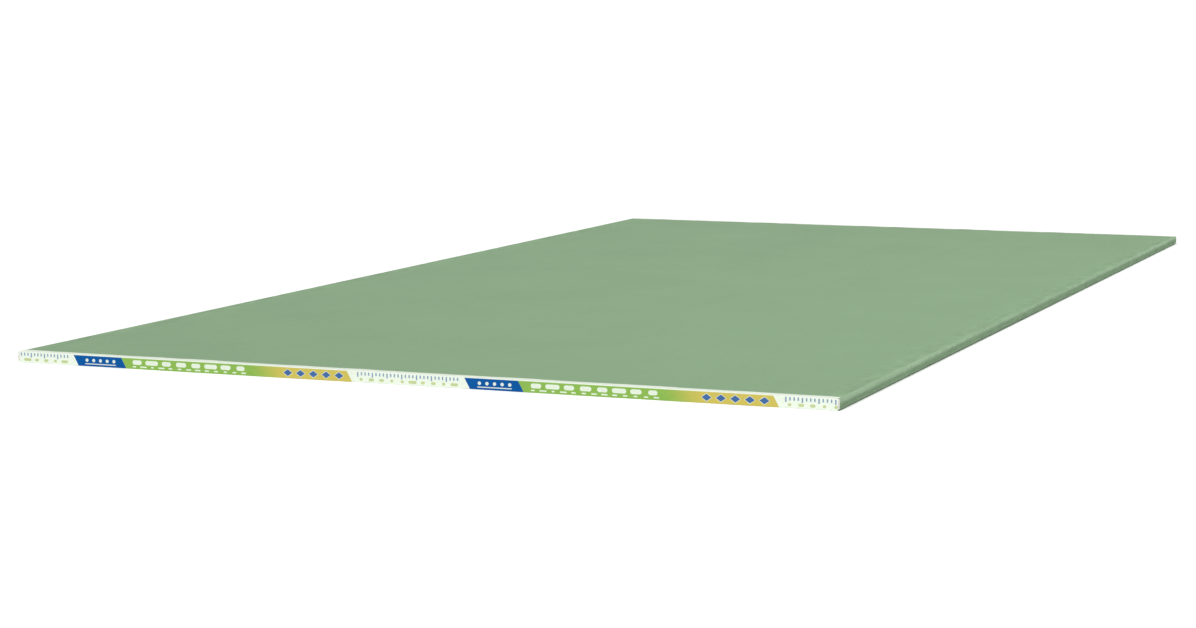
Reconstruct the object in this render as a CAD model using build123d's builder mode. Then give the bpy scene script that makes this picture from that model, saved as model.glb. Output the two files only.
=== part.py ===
"""Gypsum wallboard sheet with tapered long edges and a paper tape folded over each cut end.

The sheet lies face down, so its tapers look at the floor and its flat back is up. X runs
across the sheet, Y along it and Z up. The origin is at the middle of the footprint, on the
face. All sizes are in millimetres.
"""

from build123d import *
import os

# Sheet
width = 1219.2
length = 2438.4
thickness = 15.9

# Recess along each long edge of the face, where joint tape and compound go
taper_width = 60.0
taper_depth = 1.6
shoulder_radius = 300.0

# Folds of the face paper at the two sides of a long edge
face_fold_radius = 2.0
back_fold_radius = 2.4

# Paper tape: a lap on the back, folded down over the cut end and slit just above the face
tape_thickness = 0.25
tape_lap = 12.7
tape_side_margin = 2.5
tape_slit_height = 0.3

# Places that follow from the sizes above
edge_x = width / 2
shoulder_x = edge_x - taper_width
end_y = length / 2
lap_y = end_y - tape_lap
tape_width = width - 2 * tape_side_margin


# Section of the board: tapered face below, square edges with rounded folds, flat back above
with BuildSketch() as board_section:
    with BuildLine():
        Polyline(
            (-edge_x, taper_depth),
            (-shoulder_x, 0),
            (shoulder_x, 0),
            (edge_x, taper_depth),
            (edge_x, thickness),
            (-edge_x, thickness),
            close=True,
        )
    make_face()
    fillet(board_section.vertices().group_by(Axis.Y)[-1], back_fold_radius)
    fillet(board_section.vertices().group_by(Axis.Y)[1], face_fold_radius)
    fillet(board_section.vertices().group_by(Axis.Y)[0], shoulder_radius)

# Board: gypsum core and its bonded paper as one piece, with the same section all along.
# Stations where the laps end leave the open field of the back as a face of its own.
with BuildPart() as gypsum_board:
    for station in (-end_y, -lap_y, lap_y, end_y):
        with BuildSketch(Plane.XZ.offset(station)):
            add(board_section.sketch)
    loft(ruled=True, clean=False)

# Front tape: a folded strip of even thickness, seated on the back and on the cut end
with BuildPart() as front_end_tape:
    with BuildSketch(Plane.YZ):
        with BuildLine():
            Polyline(
                (-lap_y, thickness),
                (-end_y, thickness),
                (-end_y, tape_slit_height),
            )
            offset(amount=tape_thickness, side=Side.RIGHT)
        make_face()
    extrude(amount=tape_width / 2, both=True)

# Rear tape: the same strip on the other cut end
with BuildPart() as rear_end_tape:
    mirror(front_end_tape.part, about=Plane.XZ)


gypsum_board.part.label = "gypsum_board"
front_end_tape.part.label = "front_end_tape"
rear_end_tape.part.label = "rear_end_tape"

os.makedirs("parts", exist_ok=True)
export_step(gypsum_board.part, "parts/gypsum_board.step")
export_step(front_end_tape.part, "parts/front_end_tape.step")
export_step(rear_end_tape.part, "parts/rear_end_tape.step")
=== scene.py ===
"""Looks of a paper-faced wallboard sheet: board, printed end tapes and a plain studio.

Everything is in metres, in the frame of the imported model: X across the sheet, Y along it, Z up.
"""

import math
from typing import NamedTuple

import bpy
from bpy.props import FloatProperty, FloatVectorProperty, IntProperty, PointerProperty
from mathutils import Matrix, Vector


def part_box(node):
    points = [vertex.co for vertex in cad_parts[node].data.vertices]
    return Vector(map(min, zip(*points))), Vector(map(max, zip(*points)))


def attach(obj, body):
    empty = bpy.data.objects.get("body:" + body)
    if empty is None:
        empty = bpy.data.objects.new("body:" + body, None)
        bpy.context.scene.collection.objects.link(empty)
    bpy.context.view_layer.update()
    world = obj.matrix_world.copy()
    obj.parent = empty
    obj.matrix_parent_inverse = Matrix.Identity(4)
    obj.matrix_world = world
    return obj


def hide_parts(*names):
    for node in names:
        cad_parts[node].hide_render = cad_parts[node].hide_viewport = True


bl_info = {
    "name": "Wallboard sheet",
    "version": (1, 0, 0),
    "blender": (4, 5, 0),
    "location": "3D View > Sidebar > Wallboard",
    "description": "Builds a paper-faced wallboard sheet with printed end tapes, and a studio for it",
    "category": "Object",
}

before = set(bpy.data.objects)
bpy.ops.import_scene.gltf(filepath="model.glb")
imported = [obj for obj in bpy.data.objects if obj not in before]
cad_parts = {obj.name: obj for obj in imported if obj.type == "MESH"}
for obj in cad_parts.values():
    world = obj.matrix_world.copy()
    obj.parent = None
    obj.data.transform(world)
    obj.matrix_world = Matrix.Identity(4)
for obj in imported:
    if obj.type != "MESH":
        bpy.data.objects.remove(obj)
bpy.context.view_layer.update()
board_low, board_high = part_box("gypsum_board")
tape_low, tape_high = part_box("front_end_tape")

BOARD_PIECE = "paper_faced_board"
TAPE_PIECES = {"front_end_tape": "front_printed_tape", "rear_end_tape": "rear_printed_tape"}
TAPE_MAP = "TapeMap"
BAKE_MAP = "OFBake"
SHARP_BEND = math.radians(40)


# Settings

def number(name, default, description, **options):
    """A number, as a property for the sidebar."""
    return FloatProperty(name=name, description=description, default=default, **options)


def size(name, default, description):
    """A length in metres, as a property for the sidebar."""
    options = {"min": 0.0, "subtype": "DISTANCE", "unit": "LENGTH", "precision": 5}
    return number(name, default, description, **options)


def vector(name, default, description, subtype="TRANSLATION", **options):
    """A place or a direction, as a property for the sidebar."""
    given = {"name": name, "description": description, "default": default, "subtype": subtype}
    return FloatVectorProperty(**given, **options)


def colour(name, default, description):
    """A linear colour, as a property for the sidebar."""
    return vector(name, default, description, subtype="COLOR", min=0.0, max=1.0)


class BoardSettings(bpy.types.PropertyGroup):
    """Sizes and colours of the board"""

    width: size("Width", board_high.x - board_low.x, "Across the sheet")
    length: size("Length", board_high.y - board_low.y, "Along the sheet")
    thickness: size("Thickness", board_high.z, "From the face to the back")
    paper_thickness: size("Paper thickness", 0.0003, "Paper that shows above and below the cut gypsum")
    taper_width: size("Taper width", 0.060, "Recess along each long edge of the face")
    taper_depth: size("Taper depth", 0.0016, "Depth of that recess at the edge")
    shoulder_radius: size("Shoulder radius", 0.3, "Bend where the recess meets the flat face")
    back_fold_radius: size("Back fold radius", 0.0024, "Fold of the paper onto the back")
    face_fold_radius: size("Face fold radius", 0.002, "Fold of the paper up from the face")
    wrap_width: size("Wrap width", 0.012, "Face paper on the back, beside each long edge")
    paper_step: size("Paper step", 0.00012, "Step at the back paper's cut edge, pressed nearly flush")
    end_radius: size("End radius", 0.0005, "Crushed arris round each cut end")
    dent_depth: size("Dent depth", 0.00045, "Deepest dent in the long arrises")
    dent_reach: size("Dent reach", 0.007, "How far the dents reach from those arrises")
    rub_and_highlight_reach: size("Rub and highlight reach", 0.0042, "How far rubbed paper and its painted highlight reach from the back's long arrises")
    uneven_band: size("Uneven band", 0.05, "Band beside the long edges where the tone is uneven")
    station_spacing: size("Station spacing", 0.008, "Distance between the sections of the mesh")
    paper: colour("Paper", (0.261, 0.402, 0.239), "Moisture-resistant green paper")
    # Lighter than the paper: rubbed paper on the board's arrises, and a painted highlight along the
    # back arris
    rubbed_paper: colour("Fold paper", (0.43235, 0.6227, 0.40265), "Where that paper is rubbed and painted lighter as a highlight")
    core: colour("Core", (0.78, 0.77, 0.72), "Set gypsum at the cut ends, and its dust")


class TapeSettings(bpy.types.PropertyGroup):
    """Sizes and inks of the end tapes"""

    width: size("Width", tape_high.x - tape_low.x, "Length of the strip across the sheet")
    lap: size("Lap", tape_high.y - board_low.y, "Part of the strip on the back")
    thickness: size("Thickness", board_low.y - tape_low.y, "Thickness of the strip")
    slit_height: size("Slit height", tape_low.z, "Height of the strip's lower edge")
    fold_radius: size("Fold radius", 0.0006, "Fold over the cut end, inside the strip")
    curl: size("Curl", 0.0006, "How far the strip lifts off between its glue lines")
    ragged_edge: size("Ragged edge", 0.00035, "How uneven the slit makes the lower edge")
    straying: size("Straying", 0.0012, "How much the lap's edge strays from a straight line")
    column_width: size("Column width", 0.0025, "Distance between the columns of the mesh")
    repeats: IntProperty(name="Repeats", description="Copies of the print", default=2, min=1)
    front_start: size("Front start", 0.435, "Place in the print at the left end of the front strip")
    rear_start: size("Rear start", 0.172, "Place in the print at the left end of the rear strip")
    margin: size("Margin", 0.0009, "Bare paper between the fold and the print")
    paper: colour("Paper", (0.825, 0.90, 0.78), "Bare paper")
    rubbed_paper: colour("Fold paper", (0.759, 0.828, 0.7176), "Paper where its fold is rubbed")
    green: colour("Green", (0.265, 0.475, 0.088), "Green ink")
    gold: colour("Gold", (0.62, 0.52, 0.11), "Yellow end of the fade")
    blue: colour("Blue", (0.0, 0.092, 0.335), "Blue ink")
    slate: colour("Slate", (0.07, 0.185, 0.40), "Grey-blue ink")
    lime: colour("Lime", (0.42, 0.50, 0.10), "Yellow-green ink")


class StudioSettings(bpy.types.PropertyGroup):
    """Camera, light and floor"""

    eye: vector("Eye", (1.5754, -4.4532, 0.5262), "Place of the camera")
    aim: vector("Aim", (-0.0307, -0.4392, 0.008), "Point that the camera looks at")
    lens: number("Lens", 81.2, "Focal length on a 36 mm sensor", unit="CAMERA")
    sky: number("Sky", 0.4, "Strength of the even light all round")
    sun: number("Sun", 1.96, "Strength of the large soft lamp")
    sun_angle: number("Sun angle", math.radians(28), "How wide that lamp looks", subtype="ANGLE")
    sun_from: vector("Sun from", (-0.03, -0.705, 0.709), "Direction towards it", "DIRECTION")
    fill: number("Fill", 3.6, "Power of the fill lamp", unit="POWER")
    fill_width: size("Fill width", 1.2, "Width of the fill lamp")
    fill_length: size("Fill length", 2.4, "Length of the fill lamp, along the sheet")
    fill_place: vector("Fill place", (1.1, -0.25, 1.3), "Its place, beside the right long edge")
    floor_size: size("Floor size", 400.0, "Side of the floor, which runs to the horizon")
    floor_bounce: number("Floor bounce", 0.87, "Share of light that the floor gives back")
    floor_white: number("Floor white", 1.22, "Brightness of the floor where it is seen")


def values_of(settings):
    """The settings of a group, by the names that the sidebar shows."""
    listed = [settings.bl_rna.properties[key] for key in settings.__annotations__]
    return {prop.name: getattr(settings, prop.identifier) for prop in listed}


# Node trees

class Wire:
    """An output of a node. Arithmetic on it adds Math nodes to the same tree."""

    def __init__(self, socket):
        self.socket = socket
        self.tree = socket.id_data

    def other(self, name):
        """Another output of the same node."""
        return Wire(self.socket.node.outputs[name])

    def parts(self):
        """The X, Y and Z of a vector."""
        split = add(self.tree, "ShaderNodeSeparateXYZ", (self,))
        return [split.other(axis) for axis in "XYZ"]

    def math(self, operation, *others):
        """A Math node on this value and the others."""
        return add(self.tree, "ShaderNodeMath", (self, *others), operation=operation)

    def __add__(self, other):
        return self.math("ADD", other)

    def __sub__(self, other):
        return self.math("SUBTRACT", other)

    def __rsub__(self, other):
        return self.math("MULTIPLY_ADD", -1, other)

    def __mul__(self, other):
        return self.math("MULTIPLY", other)

    def __truediv__(self, other):
        return self.math("DIVIDE", other)

    def __mod__(self, other):
        return self.math("FLOORED_MODULO", other)

    def __neg__(self):
        return self.math("MULTIPLY", -1)

    def __abs__(self):
        return self.math("ABSOLUTE")

    def at_least(self, other):
        return self.math("MAXIMUM", other)

    def at_most(self, other):
        return self.math("MINIMUM", other)

    def above(self, limit):
        """1 where the value is over the limit, and 0 elsewhere."""
        return self.math("GREATER_THAN", limit)

    def ramp(self, low, high):
        """0 at low and 1 at high, with soft ends. Low may be the larger."""
        return add(self.tree, "ShaderNodeMapRange", (self, low, high), interpolation_type="SMOOTHSTEP")


def plug(socket, value):
    """Links a wire to the socket, or sets the socket to a plain value."""
    if isinstance(value, Wire):
        socket.id_data.links.new(value.socket, socket)
    else:
        socket.default_value = value


def add(tree, kind, inputs=(), output=0, **options):
    """Adds a node, with its inputs in order or by name, and returns one of its outputs."""
    node = tree.nodes.new(kind)
    for name, value in options.items():
        setattr(node, name, value)
    for key, value in inputs.items() if isinstance(inputs, dict) else enumerate(inputs):
        plug(node.inputs[key], value)
    return Wire(node.outputs[output])


def join(tree, x=0.0, y=0.0, z=0.0):
    """A vector from three values."""
    return add(tree, "ShaderNodeCombineXYZ", (x, y, z))


def stretched(vector, factors):
    """A vector with each of its parts multiplied by a factor of its own."""
    return add(vector.tree, "ShaderNodeVectorMath", (vector, factors), operation="MULTIPLY")


def scaled(tree, vector, factor):
    """A vector or a colour multiplied by one factor."""
    return add(tree, "ShaderNodeVectorMath", {0: vector, "Scale": factor}, operation="SCALE")


def hypotenuse(a, b):
    """Length of the longest side of a right triangle."""
    return (a * a + b * b).math("SQRT")


def noise(place, scale, detail=2.0, stretch=(1.0, 1.0, 1.0), seed=0.0):
    """Cloudy noise from 0 to 1, with its scale per metre and a stretch on each axis."""
    inputs = {"Vector": stretched(place, stretch), "W": seed, "Scale": scale, "Detail": detail}
    return add(place.tree, "ShaderNodeTexNoise", inputs, noise_dimensions="4D")


def swing(place, scale, **options):
    """The same noise, moved to swing about 0."""
    return noise(place, scale, **options) - 0.5


def stray_fibres(place, scale, stretch):
    """Short fibres on a grid of cells, from -1 where one is dark to 1 where one is light."""
    inputs = {"Vector": stretched(place, stretch), "Scale": scale}
    reach = add(place.tree, "ShaderNodeTexVoronoi", inputs)
    tone = reach.other("Color").parts()[0] * 2 - 1
    return reach.ramp(0.22, 0.12) * tone


def mix(tree, factor, first, second):
    """A colour between two others."""
    node = tree.nodes.new("ShaderNodeMix")
    node.data_type = "RGBA"
    sockets = {s.identifier: s for s in (*node.inputs, *node.outputs)}
    for key, value in {"Factor_Float": factor, "A_Color": first, "B_Color": second}.items():
        plug(sockets[key], value)
    return Wire(sockets["Result_Color"])


def rgba(value):
    """A colour of three values as a socket takes it."""
    return (*value, 1.0)


def new_group(kind, name, inputs, outputs):
    """Makes a node group. Returns the tree, its inputs as wires by name, and its output node."""
    tree = bpy.data.node_groups.new(name, kind)
    for label, socket_type, default in inputs:
        socket = tree.interface.new_socket(label, in_out="INPUT", socket_type=socket_type)
        if default is not None:
            socket.default_value = default
    for label, socket_type in outputs:
        tree.interface.new_socket(label, in_out="OUTPUT", socket_type=socket_type)
    source = tree.nodes.new("NodeGroupInput")
    return tree, {s.name: Wire(s) for s in source.outputs if s.name}, tree.nodes.new("NodeGroupOutput")


def arrange(tree, column_width=190, row_height=150):
    """Lays the nodes out in columns, from the inputs on the left to the result on the right."""
    column = dict.fromkeys(tree.nodes, 0)
    moved = True
    while moved:
        moved = False
        for link in tree.links:
            if column[link.to_node] <= column[link.from_node]:
                column[link.to_node] = column[link.from_node] + 1
                moved = True
    filled = {}
    for node in tree.nodes:
        row = filled.get(column[node], 0)
        filled[column[node]] = row + 1
        node.location = (column[node] * column_width, -row * row_height)


# Effects that several materials share

def paper_grain_group(name):
    """Cloudy formation, machine streaks, felt and stray fibres of paper."""
    tree, given, result = new_group(
        "ShaderNodeTree", name,
        [
            ("Position", "NodeSocketVector", None),
            ("Clouds", "NodeSocketFloat", 0.02),
            ("Streaks", "NodeSocketFloat", 0.015),
            ("Fibres", "NodeSocketFloat", 0.04),
            ("Strays", "NodeSocketFloat", 0.06),
        ],
        [("Tone", "NodeSocketFloat"), ("Height", "NodeSocketFloat")],
    )
    place = given["Position"]
    broad = swing(place, scale=5.0, detail=3.0)
    formation = swing(place, scale=170.0, detail=3.0, seed=1.0)
    streak = swing(place, scale=38.0, detail=3.0, stretch=(1.0, 0.012, 1.0), seed=2.0)
    felt = swing(place, scale=700.0, stretch=(1.0, 0.55, 1.0), seed=3.0)
    fibre = swing(place, scale=2100.0, detail=1.0, stretch=(1.0, 0.25, 1.0), seed=4.0)
    strays = stray_fibres(place, 330.0, (1.0, 0.3, 1.0)) + stray_fibres(place, 240.0, (0.35, 1.0, 0.7))

    # The first factors bring each noise's usual swing to about 1 each way
    clouds = (broad * 3.0 + formation * 2.5) * given["Clouds"]
    lines = streak * 3.0 * given["Streaks"]
    threads = (felt + fibre) * 2.0 * given["Fibres"]
    plug(result.inputs["Tone"], clouds + lines + threads + strays * given["Strays"] + 1.0)
    plug(result.inputs["Height"], felt * 0.7 + fibre * 0.3 + formation * 0.5)
    arrange(tree)
    return tree


def fold_wear_and_highlight_group(name, least=0.55):
    """Rubbed paper along an arris or fold, strongest on it and patchy along it. The board also uses it
    for a painted highlight along its back arrises.
    """
    tree, given, result = new_group(
        "ShaderNodeTree", name,
        [
            ("Position", "NodeSocketVector", None),
            ("Distance", "NodeSocketFloat", 0.0),
            ("Reach", "NodeSocketFloat", 0.003),
        ],
        [("Mask", "NodeSocketFloat")],
    )
    near = given["Distance"].ramp(given["Reach"], 0.0)
    patch = noise(given["Position"], scale=55.0, detail=4.0, seed=5.0).ramp(0.3, 0.7)
    plug(result.inputs["Mask"], near * (patch * (1 - least) + least))
    arrange(tree)
    return tree


def handling_group(name, dust_share=0.6):
    """Pale plaster dust and faint rubs left by handling."""
    tree, given, result = new_group(
        "ShaderNodeTree", name,
        [("Position", "NodeSocketVector", None), ("Amount", "NodeSocketFloat", 0.05)],
        [("Mask", "NodeSocketFloat")],
    )
    place = given["Position"]
    patch = noise(place, scale=2.3, detail=4.0, seed=6.0).ramp(0.52, 0.8)
    rub = noise(place, scale=60.0, detail=3.0, stretch=(0.12, 1.0, 1.0), seed=7.0).ramp(0.5, 0.85)
    dust = noise(place, scale=420.0, seed=8.0).ramp(0.45, 0.8)
    plug(result.inputs["Mask"], patch * (rub + dust * dust_share) * given["Amount"])
    arrange(tree)
    return tree


EFFECTS = {
    "Paper grain": paper_grain_group,
    "Fold wear and highlight": fold_wear_and_highlight_group,
    "Handling marks": handling_group,
}


def use_effect(tree, name, **inputs):
    """Places a shared effect in a tree, and makes it first if there is none. Returns its outputs."""
    node = tree.nodes.new("ShaderNodeGroup")
    node.node_tree = bpy.data.node_groups.get(name) or EFFECTS[name](name)
    for key, value in inputs.items():
        plug(node.inputs[key.capitalize()], value)
    return {s.name: Wire(s) for s in node.outputs}


# Materials

def new_material(name, specular):
    """A material with a Principled shader. Returns the material, its tree and the shader."""
    material = bpy.data.materials.new(name)
    material.use_nodes = True
    shader = material.node_tree.nodes["Principled BSDF"]
    plug(shader.inputs["Specular IOR Level"], specular)
    return material, material.node_tree, shader


def bump(tree, shader, height, distance):
    """Gives the shader a relief whose height value of 1 stands for a distance in metres."""
    inputs = {"Strength": 1.0, "Distance": distance, "Height": height}
    plug(shader.inputs["Normal"], add(tree, "ShaderNodeBump", inputs))


# How much lower the rubbing and its painted highlight lie at the front end, and how much further they
# reach at both ends
RUB_AND_HIGHLIGHT_DROP = 0.0008
RUB_AND_HIGHLIGHT_GROWTH = 0.0012

# At the cut edge of the back paper: over what width its tone ends, and how wide the edge looks
TONE_EDGE = 0.0002
CUT_EDGE_WIDTH = 0.0008


def arris_rub_and_highlight(tree, place, board):
    """Rubbed paper along the long arrises, painted lighter as a highlight on the back arris: a mask of
    where it is, and how strong it is there.

    It grows towards both ends. Towards the front one it gets stronger still, and lies lower. The face
    fold, which faces down, gets a narrower band.
    """
    x, y, z = place.parts()
    toward_end = abs(y).ramp(board.length * 0.15, board.length * 0.4)
    toward_front = (-y).ramp(board.length * 0.25, board.length * 0.45)
    side = board.width / 2 - abs(x)
    middle = (board.thickness - board.back_fold_radius) - toward_front * RUB_AND_HIGHLIGHT_DROP
    from_back = hypotenuse(side, middle - z)
    from_face = hypotenuse(side, z - board.taper_depth)
    arris = from_back.at_most(from_face * 2)
    reach = toward_end * RUB_AND_HIGHLIGHT_GROWTH + board.rub_and_highlight_reach
    strength = toward_end * 0.45 + toward_front * 0.3 + 0.8
    mask = use_effect(tree, "Fold wear and highlight", position=place, distance=arris, reach=reach)["Mask"]
    return mask, strength


def board_tone(place, board, grain_tone):
    """How light the board paper is: grain, knocks beside the long edges and the cut back paper."""
    x, _, z = place.parts()
    seam = board.width / 2 - board.wrap_width
    on_back = z.ramp(board.thickness / 2, board.thickness)
    on_back_paper = abs(x).ramp(seam + TONE_EDGE, seam) * on_back
    cut_edge = abs(abs(x) - seam).ramp(CUT_EDGE_WIDTH, 0.0) * z.ramp(0.0, board.thickness)
    knocks = swing(place, scale=24.0, detail=4.0, stretch=(3.0, 1.0, 6.0), seed=11.0)
    near_edge = (board.width / 2 - abs(x)).ramp(board.uneven_band, 0.0)
    return grain_tone * (1.02 - on_back_paper * 0.02) - cut_edge * 0.08 + knocks * near_edge * 0.8


def board_paper_material(board):
    """Green board paper: back paper, and face paper where it wraps the long edges."""
    material, tree, shader = new_material("Green board paper", specular=0.2)
    place = add(tree, "ShaderNodeTexCoord", output="Object")
    grain = use_effect(
        tree, "Paper grain", position=place, clouds=0.045, streaks=0.018, fibres=0.09, strays=0.14,
    )
    fold_mask, strength = arris_rub_and_highlight(tree, place, board)
    dust = use_effect(tree, "Handling marks", position=place, amount=0.10)["Mask"]
    paper = scaled(tree, tuple(board.paper), board_tone(place, board, grain["Tone"]))
    # Along the long arrises the paper turns to the fold colour: rubbed paper, and a painted highlight
    # on the back arris
    fold_toned = mix(tree, fold_mask * strength, paper, rgba(board.rubbed_paper))
    plug(shader.inputs["Base Color"], mix(tree, dust, fold_toned, rgba(board.core)))
    plug(shader.inputs["Roughness"], grain["Height"] * 0.15 + 0.86 - fold_mask * 0.15)
    bump(tree, shader, grain["Height"], distance=0.00006)
    arrange(tree)
    return material


def core_material(board):
    """Cut gypsum with small bubbles, and the edge of the paper above and below it."""
    material, tree, shader = new_material("Gypsum core", specular=0.2)
    plug(shader.inputs["Roughness"], 0.95)
    place = add(tree, "ShaderNodeTexCoord", output="Object")
    z = place.parts()[2]
    bubble = add(tree, "ShaderNodeTexVoronoi", {"Vector": place, "Scale": 900.0}).ramp(0.38, 0.2)
    saw = swing(place, scale=900.0, stretch=(1.0, 1.0, 0.15), seed=9.0)
    dust = use_effect(tree, "Handling marks", position=place, amount=0.2)["Mask"]
    # The bubbles are painted darker, as painted shade inside their hollows; the bump gives them their
    # relief as well
    gypsum = scaled(tree, tuple(board.core), saw * 0.12 + 1.0 - bubble * 0.3 - dust)
    depth = (board.thickness - z).at_most(z)
    paper_edge = depth.ramp(board.paper_thickness * 1.5, board.paper_thickness)
    cut_paper = rgba(part * 0.8 for part in board.paper)
    plug(shader.inputs["Base Color"], mix(tree, paper_edge, gypsum, cut_paper))
    bump(tree, shader, saw - bubble, distance=0.0002)
    arrange(tree)
    return material


# Print on the end tape

# Fields follow each other along the strip: a green one that fades to gold, a bare one with a
# ruler, and a blue one. Each has its own rows of motifs.
GREEN_FIELD = 0.232
GOLD_FIELD = 0.122
BLUE_FIELD = 0.078
FADE_BEFORE = 0.035
FADE_PAST = 0.03
SLANT = 0.55
INK_EDGE = 0.00015


class Row(NamedTuple):
    """A row of like motifs in a field of the print."""

    down: float  # from the level that the row is placed by, to its motifs' middle or a ruler's top
    start: float  # from the start of the field
    pitch: float
    count: int
    height: float
    length: float  # along the strip, or of the shortest motif where they are uneven
    cover: float  # share of the ground that the ink hides
    longest: float = 0.0  # where they are uneven


LARGE_BARS = Row(
    down=-0.0017, start=0.010, pitch=0.0235, count=8,
    height=0.0064, length=0.0120, longest=0.0205, cover=0.93,
)
SMALL_BARS = Row(
    down=0.0045, start=0.010, pitch=0.0145, count=13,
    height=0.0019, length=0.0040, longest=0.0120, cover=0.93,
)
DIAMONDS = Row(
    down=0.0, start=0.018, pitch=0.0196, count=5,
    height=0.0096, length=0.0136, cover=0.93,
)
DIAMOND_OUTLINE = 0.0016
RULER_MARKS = Row(
    down=0.0006, start=0.010, pitch=0.0055, count=28,
    height=0.0045, length=0.0020, cover=0.8,
)
TALL_MARK = 0.0068
MARKS_TO_A_TALL_ONE = 4
BEADS = Row(
    down=-0.0041, start=0.010, pitch=0.0154, count=10,
    height=0.0040, length=0.0041, longest=0.0125, cover=0.7,
)
SPOTS = Row(
    down=-0.0010, start=0.0125, pitch=0.0110, count=5,
    height=0.0048, length=0.0048, cover=0.92,
)
RAIL = Row(
    down=0.0042, start=0.0125, pitch=0.055, count=1,
    height=0.0013, length=0.0500, cover=0.92,
)


def between(value, low, high):
    """1 between two limits, with soft edges."""
    return value.ramp(low - INK_EDGE, low + INK_EDGE) * value.ramp(high + INK_EDGE, high - INK_EDGE)


def inked(reach, size, row):
    """The ink's cover where a motif's measure is under its size, with a soft edge."""
    return reach.ramp(size + INK_EDGE, size - INK_EDGE) * row.cover


def in_row(u, row, field):
    """Distance along the strip to the middle of the nearest motif, and 1 inside the row."""
    start = field + row.start
    inside = between(u, start, start + row.pitch * row.count)
    return abs((u - start) % row.pitch - row.pitch / 2), inside


def bars(u, v, row, field, level):
    """Bars with round ends, or dots where they are no longer than high."""
    off_middle, inside = in_row(u, row, field)
    middle = level + row.down
    half = (row.length - row.height) / 2  # of the straight part, between the round ends
    if row.longest:
        cell = ((u - (field + row.start)) / row.pitch).math("FLOOR") + middle
        chance = add(u.tree, "ShaderNodeTexWhiteNoise", {"W": cell}, noise_dimensions="1D")
        half = chance * (row.longest - row.length) / 2 + half
    reach = hypotenuse((off_middle - half).at_least(0.0), v - middle)
    return inked(reach, row.height / 2, row) * inside


def diamonds(u, v, row, field, level, outline=0.0):
    """A row of diamonds, each made larger by an outline."""
    off_middle, inside = in_row(u, row, field)
    height, length = row.height + outline, row.length + outline
    reach = off_middle * (height / length) + abs(v - (level + row.down))
    return inked(reach, height / 2, row) * inside


def ruler(u, v, row, field, level):
    """Ruler marks that hang from just under a level, with a taller one now and then."""
    off_middle, inside = in_row(u, row, field)
    top = level + row.down
    is_tall = between((u - (field + row.start)) % (row.pitch * MARKS_TO_A_TALL_ONE), 0.0, row.pitch)
    above_end = between(v - is_tall * (TALL_MARK - row.height), -1.0, top + row.height)
    below_top = (v - top).ramp(0.0, INK_EDGE)
    return inked(off_middle, row.length / 2, row) * above_end * below_top * inside


def fading_field(tree, u, v, slanted, tape, middle):
    """Green that fades to gold, with white bars on the one and outlined diamonds on the other."""
    turn = slanted.ramp(GREEN_FIELD - FADE_BEFORE, GREEN_FIELD + FADE_PAST)
    ground = mix(tree, turn, rgba(tape.green), rgba(tape.gold))
    large, small = (bars(u, v, row, 0.0, middle) for row in (LARGE_BARS, SMALL_BARS))
    ground = mix(tree, large.at_least(small), ground, rgba(tape.paper))
    outlines = diamonds(u, v, DIAMONDS, GREEN_FIELD, middle, DIAMOND_OUTLINE)
    ground = mix(tree, outlines, ground, rgba(tape.paper))
    return mix(tree, diamonds(u, v, DIAMONDS, GREEN_FIELD, middle), ground, rgba(tape.blue))


def tape_inks(tree, u, v, tape, drop):
    """The colour of the print at a place along and down the strip."""
    module = tape.width / tape.repeats
    middle = (tape.margin + drop) / 2
    straight = u % module
    slanted = (u + (middle - v) * SLANT) % module
    bare_from = GREEN_FIELD + GOLD_FIELD
    blue_from = module - BLUE_FIELD
    paper = rgba(tape.paper)
    printed = (v - tape.margin).ramp(-INK_EDGE, INK_EDGE)

    fading = fading_field(tree, straight, v, slanted, tape, middle)
    ground = mix(tree, between(slanted, 0.0, bare_from) * printed, paper, fading)
    marks = ruler(straight, v, RULER_MARKS, bare_from, tape.margin)
    ground = mix(tree, marks, ground, rgba(tape.slate))
    beads = bars(straight, v, BEADS, bare_from, drop)
    ground = mix(tree, beads, ground, rgba(tape.lime))

    spots, rail = (bars(straight, v, row, blue_from, middle) for row in (SPOTS, RAIL))
    spotted = mix(tree, spots.at_least(rail), rgba(tape.blue), paper)
    return mix(tree, between(slanted, blue_from, module) * printed, ground, spotted)


def tape_material(board, tape):
    """Thin glazed paper with its print, a little rubbed on the fold."""
    material, tree, shader = new_material("Printed tape paper", specular=0.1)
    place = add(tree, "ShaderNodeTexCoord", output="Object")
    strip = add(tree, "ShaderNodeUVMap", uv_map=TAPE_MAP)
    u, v, _ = strip.parts()
    waver = swing(place, scale=1500.0, seed=10.0) * (INK_EDGE * 2)
    inks = tape_inks(tree, u + waver, v + waver, tape, drop=board.thickness - tape.slit_height)
    grain = use_effect(
        tree, "Paper grain", position=place, clouds=0.028, streaks=0.0, fibres=0.09, strays=0.05,
    )
    fold_mask = use_effect(tree, "Fold wear and highlight", position=place, distance=abs(v), reach=0.0012)["Mask"]
    dust = use_effect(tree, "Handling marks", position=place, amount=0.25)["Mask"]
    fold_toned = mix(tree, fold_mask * 0.5, scaled(tree, inks, grain["Tone"]), rgba(tape.rubbed_paper))
    plug(shader.inputs["Base Color"], mix(tree, dust, fold_toned, rgba(board.core)))
    plug(shader.inputs["Roughness"], grain["Height"] * 0.2 + 0.52 + fold_mask * 0.2)
    wrinkle = abs(swing(strip, scale=42.0, stretch=(1.0, 0.5, 1.0), seed=12.0)).ramp(0.03, 0.0)
    creased = noise(strip, scale=9.0, stretch=(1.0, 3.0, 1.0), seed=13.0).ramp(0.5, 0.7)
    bump(tree, shader, grain["Height"] + wrinkle * creased * 4.0, distance=0.00003)
    arrange(tree)
    return material


# Meshes by Geometry Nodes

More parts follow.
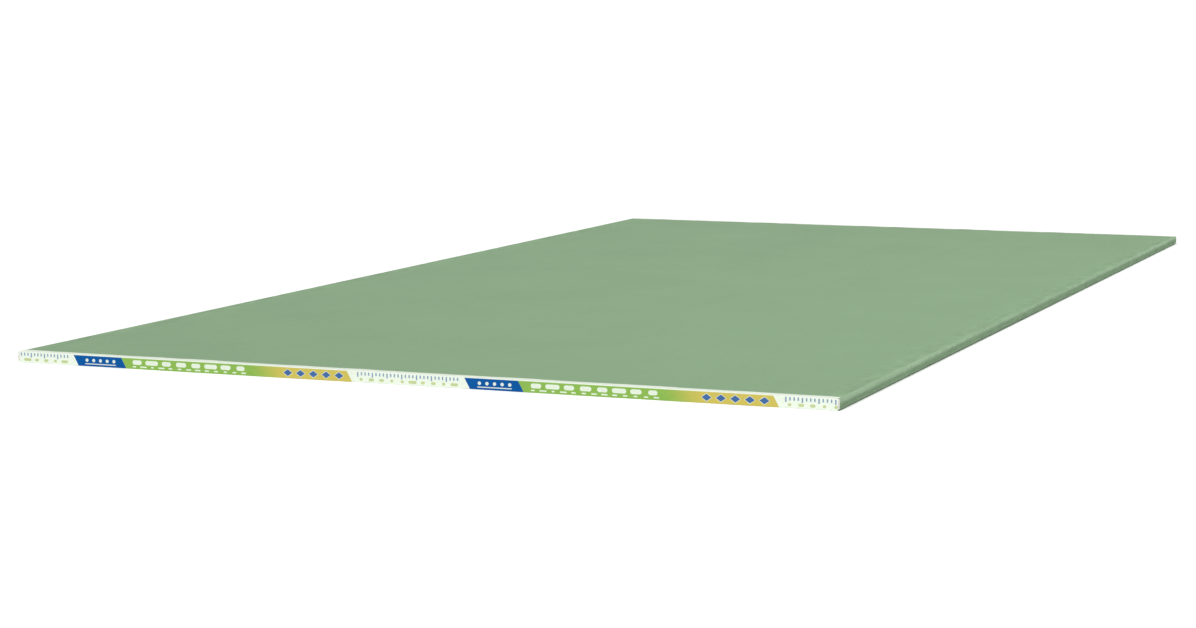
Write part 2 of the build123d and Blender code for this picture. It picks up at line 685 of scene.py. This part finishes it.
def settings_inputs(settings, labels):
    """Group inputs for the named settings, with their defaults."""
    values = values_of(settings)
    return [(label, "NodeSocketFloat", values[label]) for label in labels]


def pick(tree, index, values):
    """One of several values, by index."""
    node = tree.nodes.new("GeometryNodeIndexSwitch")
    node.data_type = "FLOAT"
    while len(node.index_switch_items) < len(values):
        node.index_switch_items.new()
    for socket, value in zip(node.inputs, (index, *values)):
        plug(socket, value)
    return Wire(node.outputs[0])


def capture(tree, geometry, value):
    """Keeps a value on the points of a geometry. Returns the geometry and the kept value."""
    node = tree.nodes.new("GeometryNodeCaptureAttribute")
    node.capture_items.new("FLOAT", "Kept")
    plug(node.inputs[0], geometry)
    plug(node.inputs[1], value)
    return Wire(node.outputs[0]), Wire(node.outputs[1])


def on_face(tree, value):
    """A value as it is at the middle of each face."""
    return add(tree, "GeometryNodeFieldOnDomain", {0: value}, data_type="FLOAT", domain="FACE")


def set_position(tree, geometry, position=None, offset=(0.0, 0.0, 0.0)):
    """Moves points to a position, by an offset, or both."""
    inputs = {"Geometry": geometry, "Offset": offset}
    if position is not None:
        inputs["Position"] = position
    return add(tree, "GeometryNodeSetPosition", inputs)


def store_map(tree, mesh, name, u, v):
    """Stores a UV map on a mesh."""
    inputs = {"Geometry": mesh, "Name": name, "Value": join(tree, u, v)}
    return add(tree, "GeometryNodeStoreNamedAttribute", inputs, data_type="FLOAT2", domain="CORNER")


def shade_smooth(tree, mesh, also_sharp=0.0):
    """Smooth faces. Edges that bend sharply stay sharp, and so do any others that are given."""
    smooth = add(tree, "GeometryNodeSetShadeSmooth", {"Geometry": mesh, "Shade Smooth": True})
    bend = add(tree, "GeometryNodeInputMeshEdgeAngle")
    sharp = bend.above(SHARP_BEND).at_least(also_sharp)
    inputs = {"Geometry": smooth, "Selection": sharp, "Shade Smooth": False}
    return add(tree, "GeometryNodeSetShadeSmooth", inputs, domain="EDGE")


def set_material(tree, mesh, material, selection=True):
    """Gives the selected faces a material."""
    inputs = {"Geometry": mesh, "Selection": selection, "Material": material}
    return add(tree, "GeometryNodeSetMaterial", inputs)


def board_section(tree, given, fold_points=7, shoulder_points=5):
    """The closed section of the board: its corners down the right side and up the left, with folds.

    The path turns the section over, so the corners' heights are negative here.
    """
    half = given["Width"] / 2
    back = given["Thickness"] - given["Paper step"]
    seam = half - given["Wrap width"]
    corners = (  # across, up, radius, points in the fold
        (seam, given["Thickness"], 0.0, 1),
        (seam + given["Paper step"], back, 0.0, 1),
        (half, back, given["Back fold radius"], fold_points),
        (half, given["Taper depth"], given["Face fold radius"], fold_points),
        (half - given["Taper width"], 0.0, given["Shoulder radius"], shoulder_points),
    )
    count = len(corners)
    index = add(tree, "GeometryNodeInputIndex")
    left = index.above(count - 0.5)
    corner = index + left * (2 * count - 1 - index * 2)
    across, up, radius, points = (pick(tree, corner, column) for column in zip(*corners))
    line = add(tree, "GeometryNodeMeshLine", {"Count": 2 * count})
    line = set_position(tree, line, join(tree, across * (1 - left * 2), -up))
    curve = add(tree, "GeometryNodeMeshToCurve", (line,))
    curve = add(tree, "GeometryNodeSetSplineCyclic", {"Geometry": curve, "Cyclic": True})
    inputs = {"Curve": curve, "Count": points, "Radius": radius}
    return add(tree, "GeometryNodeFilletCurve", inputs, mode="POLY")


def board_path(tree, given, arc_steps=3):
    """The line along the sheet, and how far its surface lies inward at each station.

    The first and last stations lie close together, round the crushed arris.
    """
    count = (given["Length"] / given["Station spacing"]).math("ROUND") + 1
    index = add(tree, "GeometryNodeInputIndex")
    from_end = index.at_most(count - 1 - index)
    in_arc = from_end.at_most(arc_steps)
    angle = in_arc * (math.pi / 2 / arc_steps)
    radius = given["End radius"]
    gap = (given["Length"] - radius * 2) / (count - 1 - 2 * arc_steps)
    distance = radius - radius * angle.math("COSINE") + (from_end - in_arc) * gap
    side = index.above((count - 1) / 2) * 2 - 1
    line = add(tree, "GeometryNodeMeshLine", {"Count": count})
    line = set_position(tree, line, join(tree, 0.0, side * (given["Length"] / 2 - distance)))
    path = add(tree, "GeometryNodeMeshToCurve", (line,))
    path = add(tree, "GeometryNodeSetCurveNormal", (path,), mode="Z_UP")
    return capture(tree, path, radius - radius * angle.math("SINE"))


def crush_and_dent(tree, mesh, given, inset):
    """Draws the surface in round the cut ends, and by small dents along the long arrises."""
    place = add(tree, "GeometryNodeInputPosition")
    x, _, z = place.parts()
    side = given["Width"] / 2 - abs(x)
    from_back = hypotenuse(side, z - given["Thickness"])
    from_face = hypotenuse(side, z - given["Taper depth"])
    near = from_back.at_most(from_face).ramp(given["Dent reach"], 0.0)
    dent = noise(place, scale=26.0, detail=3.0, seed=3.5).ramp(0.56, 0.78) * near * given["Dent depth"]
    flat = stretched(add(tree, "GeometryNodeInputNormal"), (1.0, 0.0, 1.0))
    outward = add(tree, "ShaderNodeVectorMath", (flat,), operation="NORMALIZE")
    return set_position(tree, mesh, offset=scaled(tree, outward, -(inset + dent)))


# Least part of a face's normal that points along the sheet on a cut end, or down on the underside
END_FACING = 0.9
DOWN_FACING = 0.7

# Shares of the board's bake map: the back, each long edge, the underside, each end, and a gap
BACK_SHARE = 0.44
EDGE_SHARE = 0.11
UNDER_SHARE = 0.27
END_SHARE = 0.012
SHARE_GAP = 0.009


def board_bake_map(tree, mesh, given, is_end, facing_up):
    """Unrolls the board into strips along its length, with more room for the folded edges."""
    x, y, z = add(tree, "GeometryNodeInputPosition").parts()
    seam = given["Width"] / 2 - given["Wrap width"]
    unrolled = abs(x) + given["Thickness"] - z
    back = unrolled.at_most(seam) / seam * (BACK_SHARE / 2)
    edge = (unrolled - seam).at_least(0.0) / (given["Wrap width"] + given["Thickness"]) * EDGE_SHARE
    upper = x.math("SIGN") * (back + edge) + (1 - SHARE_GAP - BACK_SHARE / 2 - EDGE_SHARE)
    across = x / given["Width"] + 0.5
    under = across * UNDER_SHARE + SHARE_GAP
    rear = y.above(0.0) * (END_SHARE + SHARE_GAP)
    end = z / given["Thickness"] * END_SHARE + rear + (UNDER_SHARE + SHARE_GAP * 2)
    is_under = (-facing_up).above(DOWN_FACING)
    upper_or_under = upper + is_under * (under - upper)
    v = upper_or_under + is_end * (end - upper_or_under)
    along = y / given["Length"] + 0.5
    u = (along + is_end * (across - along)) * (1 - SHARE_GAP) + SHARE_GAP / 2
    return store_map(tree, mesh, BAKE_MAP, u, v)


def board_tree(board):
    """The section swept along the sheet, crushed at its ends and dented along its arrises."""
    labels = (
        "Width", "Length", "Thickness", "Taper width", "Taper depth", "Shoulder radius",
        "Back fold radius", "Face fold radius", "Wrap width", "Paper step", "End radius",
        "Dent depth", "Dent reach", "Station spacing",
    )
    materials = [(label, "NodeSocketMaterial", None) for label in ("Paper", "Core")]
    tree, given, result = new_group(
        "GeometryNodeTree", "Paper-faced board", settings_inputs(board, labels) + materials,
        [("Board", "NodeSocketGeometry")],
    )
    path, inset = board_path(tree, given)
    inputs = {"Curve": path, "Profile Curve": board_section(tree, given), "Fill Caps": True}
    mesh = add(tree, "GeometryNodeCurveToMesh", inputs)
    mesh = crush_and_dent(tree, mesh, given, inset)

    facing = add(tree, "GeometryNodeInputNormal").parts()
    _, facing_along, facing_up = (on_face(tree, part) for part in facing)
    is_end = abs(facing_along).above(END_FACING)
    mesh = board_bake_map(tree, mesh, given, is_end, facing_up)
    at_rim = inset.above(given["End radius"] * 0.99)
    mesh = shade_smooth(tree, mesh, also_sharp=at_rim)
    mesh = add(tree, "GeometryNodeRealizeInstances", (mesh,))
    mesh = set_material(tree, mesh, given["Paper"])
    plug(result.inputs[0], set_material(tree, mesh, given["Core"], is_end))
    arrange(tree)
    return tree


# Rows of the tape's mesh on the cut end, in the fold and on the lap
DROP_ROWS = 14
FOLD_ROWS = 4
LAP_ROWS = 16

# The strip is glued down near the fold, and can lift off further from it
GLUED_TO = 0.0015
LOOSE_FROM = 0.006
STEP_SLOPE = 0.003  # along the strip, where it goes down over the step at the back paper's edge

# Bands that the tape's bake map is cut into, and the margins along their short and long edges
BAKE_BANDS = 6
SHORT_MARGIN = 0.005
LONG_MARGIN = 0.03

# How much both maps are stretched on the outer surface, along the strip and across it
STRETCH_ALONG = 0.0004
STRETCH_ACROSS = 0.0125


def tape_grid(tree, given, rows):
    """A flat grid for the tape, with whole columns in each band of its bake map."""
    in_band = (given["Width"] / BAKE_BANDS / given["Column width"]).math("CEIL")
    inputs = {
        "Size X": given["Width"], "Size Y": given["Lap"],
        "Vertices X": in_band * BAKE_BANDS + 1, "Vertices Y": rows,
    }
    return add(tree, "GeometryNodeMeshGrid", inputs)


def lift_off(tree, given, x, down, rise, turn, run):
    """How the strip stands off the board: blisters, and loose stretches along both its edges."""
    on_strip = join(tree, x, down)
    blister = noise(on_strip, scale=24.0, seed=given["Seed"] + 2).ramp(0.5, 0.8) * 0.5
    edge = run.ramp(0.55, 1.0).at_least(rise.ramp(0.4, 0.0))
    lifted = noise(on_strip, scale=15.0, seed=given["Seed"] + 3).ramp(0.42, 0.75) * edge
    loose = abs(down).ramp(GLUED_TO, LOOSE_FROM)
    outward = join(tree, 0.0, -turn.math("COSINE"), turn.math("SINE"))
    return scaled(tree, outward, (blister + lifted) * loose * given["Curl"])


def folded_sheet(tree, given):
    """The tape's inner surface: up the cut end, round the fold and along the lap.

    Returns it with its places across the sheet and down the strip, and its height.
    """
    rows = DROP_ROWS + FOLD_ROWS + LAP_ROWS + 1
    grid = tape_grid(tree, given, rows)
    x = add(tree, "GeometryNodeInputPosition").parts()[0]
    row = add(tree, "GeometryNodeInputIndex") % rows
    rise = (row / DROP_ROWS).at_most(1.0)
    turn = ((row - DROP_ROWS) / FOLD_ROWS).at_least(0.0).at_most(1.0) * (math.pi / 2)
    run = ((row - DROP_ROWS - FOLD_ROWS) / LAP_ROWS).at_least(0.0)

    radius = given["Fold radius"]
    seed = given["Seed"]
    wall = given["Board thickness"] - given["Slit height"] - radius
    lap = given["Lap"] - radius
    across = join(tree, x)
    ragged = swing(across, scale=260.0, detail=3.0, seed=seed) * given["Ragged edge"] * (1 - rise)
    straying = swing(across, scale=2.2, detail=1.0, seed=seed + 1) * given["Straying"] * run
    step = abs(x).ramp(given["Seam"], given["Seam"] + STEP_SLOPE) * given["Step"] * rise
    up = given["Slit height"] + rise * wall + radius * turn.math("SINE") - step + ragged
    back = radius - radius * turn.math("COSINE") + run * lap + straying - given["Board length"] / 2
    down = (1 - rise) * wall + radius * (math.pi / 4) - radius * turn - run * lap

    grid, kept_x = capture(tree, grid, x)
    grid, kept_down = capture(tree, grid, down)
    lift = lift_off(tree, given, x, down, rise, turn, run)
    return set_position(tree, grid, join(tree, x, back, up), lift), kept_x, kept_down, wall + radius


def thicken(tree, sheet, thickness):
    """A closed shell of even thickness on a sheet. Returns it, with 1 on its outer points."""
    inputs = {"Mesh": sheet, "Offset Scale": thickness, "Individual": False}
    outer = add(tree, "GeometryNodeExtrudeMesh", inputs)
    outer, is_outer = capture(tree, outer, outer.other("Top"))
    inner = add(tree, "GeometryNodeFlipFaces", (sheet,))
    both = tree.nodes.new("GeometryNodeJoinGeometry")
    for part in (inner, outer):
        tree.links.new(part.socket, both.inputs[0])
    inputs = {"Geometry": Wire(both.outputs[0]), "Distance": 1e-6}
    return add(tree, "GeometryNodeMergeByDistance", inputs), is_outer


def tape_maps(tree, shell, given, x, down, is_outer, height):
    """Stores the map that the print follows, and a bake map in bands, one above the other.

    The stretch of the outer surface gives the rim between it and the inner one some room.
    """
    from_left = (x + given["Width"] / 2) * (is_outer * STRETCH_ALONG + 1)
    v = down * (is_outer * STRETCH_ACROSS + 1)
    shell = store_map(tree, shell, TAPE_MAP, from_left + given["Start"], v)
    band_width = given["Width"] / BAKE_BANDS
    band = on_face(tree, from_left / band_width).math("FLOOR").at_most(BAKE_BANDS - 1)
    along = (from_left / band_width - band) * (1 - 2 * SHORT_MARGIN) + SHORT_MARGIN
    across = (v + given["Lap"]) / (given["Lap"] + height) * (1 - 2 * LONG_MARGIN) + LONG_MARGIN
    return store_map(tree, shell, BAKE_MAP, along, (across + band) / BAKE_BANDS)


def tape_tree(board, tape):
    """A strip of even thickness, folded over the cut end, in a grid of columns and rows."""
    labels = (
        "Width", "Lap", "Thickness", "Slit height", "Fold radius", "Curl", "Ragged edge",
        "Straying", "Column width",
    )
    from_board = {
        "Board length": board.length, "Board thickness": board.thickness,
        "Seam": board.width / 2 - board.wrap_width, "Step": board.paper_step,
    }
    extra = [(name, "NodeSocketFloat", value) for name, value in from_board.items()]
    extra += [(name, "NodeSocketFloat", 0.0) for name in ("Start", "Seed")]
    extra.append(("Material", "NodeSocketMaterial", None))
    tree, given, result = new_group(
        "GeometryNodeTree", "Folded end tape", settings_inputs(tape, labels) + extra,
        [("Tape", "NodeSocketGeometry")],
    )
    sheet, x, down, height = folded_sheet(tree, given)
    shell, is_outer = thicken(tree, sheet, given["Thickness"])
    shell = tape_maps(tree, shell, given, x, down, is_outer, height)
    shell = shade_smooth(tree, shell)
    shell = add(tree, "GeometryNodeRealizeInstances", (shell,))
    plug(result.inputs[0], set_material(tree, shell, given["Material"]))
    arrange(tree)
    return tree


def mesh_from(tree, name, values):
    """Runs a Geometry Nodes tree with these inputs and returns a plain object with its mesh."""
    piece = bpy.data.objects.new(name, bpy.data.meshes.new(name))
    bpy.context.scene.collection.objects.link(piece)
    modifier = piece.modifiers.new(tree.name, "NODES")
    modifier.node_group = tree
    for socket in tree.interface.items_tree:
        if socket.in_out == "INPUT" and socket.name in values:
            modifier[socket.identifier] = values[socket.name]
    evaluated = piece.evaluated_get(bpy.context.evaluated_depsgraph_get())
    made = bpy.data.meshes.new_from_object(evaluated)
    piece.modifiers.remove(modifier)
    piece.data = made
    made.name = name
    while None in made.materials[:]:
        made.materials.pop(index=made.materials[:].index(None))
    if not made.polygons:
        raise RuntimeError(f"{name}: its tree made no faces")
    return piece


# Operators

class WALLBOARD_OT_board(bpy.types.Operator):
    """Build the board with its paper and its cut ends"""

    bl_idname = "wallboard.board"
    bl_label = "Build board"

    def execute(self, context):
        board = context.scene.wallboard_board
        materials = {"Paper": board_paper_material(board), "Core": core_material(board)}
        piece = mesh_from(board_tree(board), BOARD_PIECE, {**values_of(board), **materials})
        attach(piece, "root")
        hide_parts("gypsum_board")
        return {"FINISHED"}


class WALLBOARD_OT_end_tapes(bpy.types.Operator):
    """Fold a printed tape over each cut end"""

    bl_idname = "wallboard.end_tapes"
    bl_label = "Build end tapes"

    def execute(self, context):
        board = context.scene.wallboard_board
        tape = context.scene.wallboard_tape
        material = tape_material(board, tape)
        tree = tape_tree(board, tape)
        starts = (tape.front_start, tape.rear_start)
        for number, (node, name) in enumerate(TAPE_PIECES.items()):
            extra = {"Start": starts[number], "Seed": 10.0 * number, "Material": material}
            piece = mesh_from(tree, name, {**values_of(tape), **extra})
            piece.data.transform(Matrix.Rotation(math.pi * number, 4, "Z"))
            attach(piece, "root")
            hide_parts(node)
        return {"FINISHED"}


class WALLBOARD_OT_stage(bpy.types.Operator):
    """Set up the camera, the light and the floor"""

    bl_idname = "wallboard.stage"
    bl_label = "Set up stage"

    def execute(self, context):
        studio = context.scene.wallboard_studio
        add_camera(context.scene, studio)
        add_lamps(context.scene, studio)
        light_world(context.scene, studio)
        add_floor(context.scene, studio)
        context.scene.view_settings.view_transform = "Standard"
        return {"FINISHED"}


# Stage

def link_new(scene, name, data):
    """A new object in the scene."""
    made = bpy.data.objects.new(name, data)
    scene.collection.objects.link(made)
    return made


def add_camera(scene, studio):
    """The camera at the photograph's viewing angle."""
    data = bpy.data.cameras.new("Camera")
    data.sensor_width = 36.0
    data.lens = studio.lens
    camera = link_new(scene, "Camera", data)
    camera.location = studio.eye
    look = Vector(studio.aim) - Vector(studio.eye)
    camera.rotation_euler = look.to_track_quat("-Z", "Y").to_euler()
    scene.camera = camera


def add_lamp(scene, name, kind, energy, place, target, **options):
    """A lamp at a place that shines at a target."""
    data = bpy.data.lights.new(name, kind)
    data.energy = energy
    for key, value in options.items():
        setattr(data, key, value)
    lamp = link_new(scene, name, data)
    lamp.location = place
    lamp.rotation_euler = (Vector(place) - target).to_track_quat("Z", "Y").to_euler()


def add_lamps(scene, studio):
    """A large soft lamp, far off, and a weak one that shines down beside the right long edge."""
    far_off = Vector(studio.sun_from) * studio.floor_size
    add_lamp(scene, "Soft lamp", "SUN", studio.sun, far_off, Vector(), angle=studio.sun_angle)
    below = Vector(studio.fill_place) * Vector((1, 1, 0))
    panel = {"shape": "RECTANGLE", "size": studio.fill_width, "size_y": studio.fill_length}
    add_lamp(scene, "Fill lamp", "AREA", studio.fill, studio.fill_place, below, **panel)


def seen_directly(tree):
    """1 where the camera sees a surface itself, or in a reflection or through glass."""
    camera = add(tree, "ShaderNodeLightPath", output="Is Camera Ray")
    glossy, transmission = (camera.other(name) for name in ("Is Glossy Ray", "Is Transmission Ray"))
    return camera.at_least(glossy).at_least(transmission)


def light_world(scene, studio):
    """An even sky that shows as plain white."""
    world = bpy.data.worlds.new("Even sky")
    world.use_nodes = True
    tree = world.node_tree
    background = tree.nodes["Background"]
    plug(background.inputs["Color"], rgba((1.0, 1.0, 1.0)))
    plug(background.inputs["Strength"], seen_directly(tree) * (1 - studio.sky) + studio.sky)
    arrange(tree)
    scene.world = world


def add_floor(scene, studio):
    """A floor that shows as plain white, keeps the shadow and gives back a little less light."""
    half = studio.floor_size / 2
    corners = [(-half, -half, 0), (half, -half, 0), (half, half, 0), (-half, half, 0)]
    mesh = bpy.data.meshes.new("Floor")
    mesh.from_pydata(corners, [], [range(len(corners))])
    material = bpy.data.materials.new("Floor")
    material.use_nodes = True
    tree = material.node_tree
    tree.nodes.remove(tree.nodes["Principled BSDF"])
    bounce = add(tree, "ShaderNodeBsdfDiffuse", (rgba([studio.floor_bounce] * 3),))
    shown = add(tree, "ShaderNodeBsdfDiffuse", (rgba([studio.floor_white] * 3),))
    surface = add(tree, "ShaderNodeMixShader", (seen_directly(tree), bounce, shown))
    plug(tree.nodes["Material Output"].inputs["Surface"], surface)
    arrange(tree)
    mesh.materials.append(material)
    return link_new(scene, "Floor", mesh)


# Add-on

GROUPS = {  # what the scene calls each group of settings, and the operator that reads it
    "wallboard_board": (BoardSettings, "wallboard.board"),
    "wallboard_tape": (TapeSettings, "wallboard.end_tapes"),
    "wallboard_studio": (StudioSettings, "wallboard.stage"),
}


class WALLBOARD_PT_sheet(bpy.types.Panel):
    """Settings of the sheet and its studio"""

    bl_label = "Wallboard sheet"
    bl_space_type = "VIEW_3D"
    bl_region_type = "UI"
    bl_category = "Wallboard"

    def draw(self, context):
        for name, (group, operator) in GROUPS.items():
            box = self.layout.box()
            for key in group.__annotations__:
                box.prop(getattr(context.scene, name), key)
            box.operator(operator)


CLASSES = (
    BoardSettings, TapeSettings, StudioSettings,
    WALLBOARD_OT_board, WALLBOARD_OT_end_tapes, WALLBOARD_OT_stage, WALLBOARD_PT_sheet,
)


def register():
    for cls in CLASSES:
        bpy.utils.register_class(cls)
    for name, (group, _) in GROUPS.items():
        setattr(bpy.types.Scene, name, PointerProperty(type=group))


def unregister():
    for name in GROUPS:
        delattr(bpy.types.Scene, name)
    for cls in reversed(CLASSES):
        bpy.utils.unregister_class(cls)


def main():
    """Builds the sheet and its studio."""
    register()
    bpy.ops.wallboard.board()
    bpy.ops.wallboard.end_tapes()
    bpy.ops.wallboard.stage()


if __name__ == "__main__":
    main()
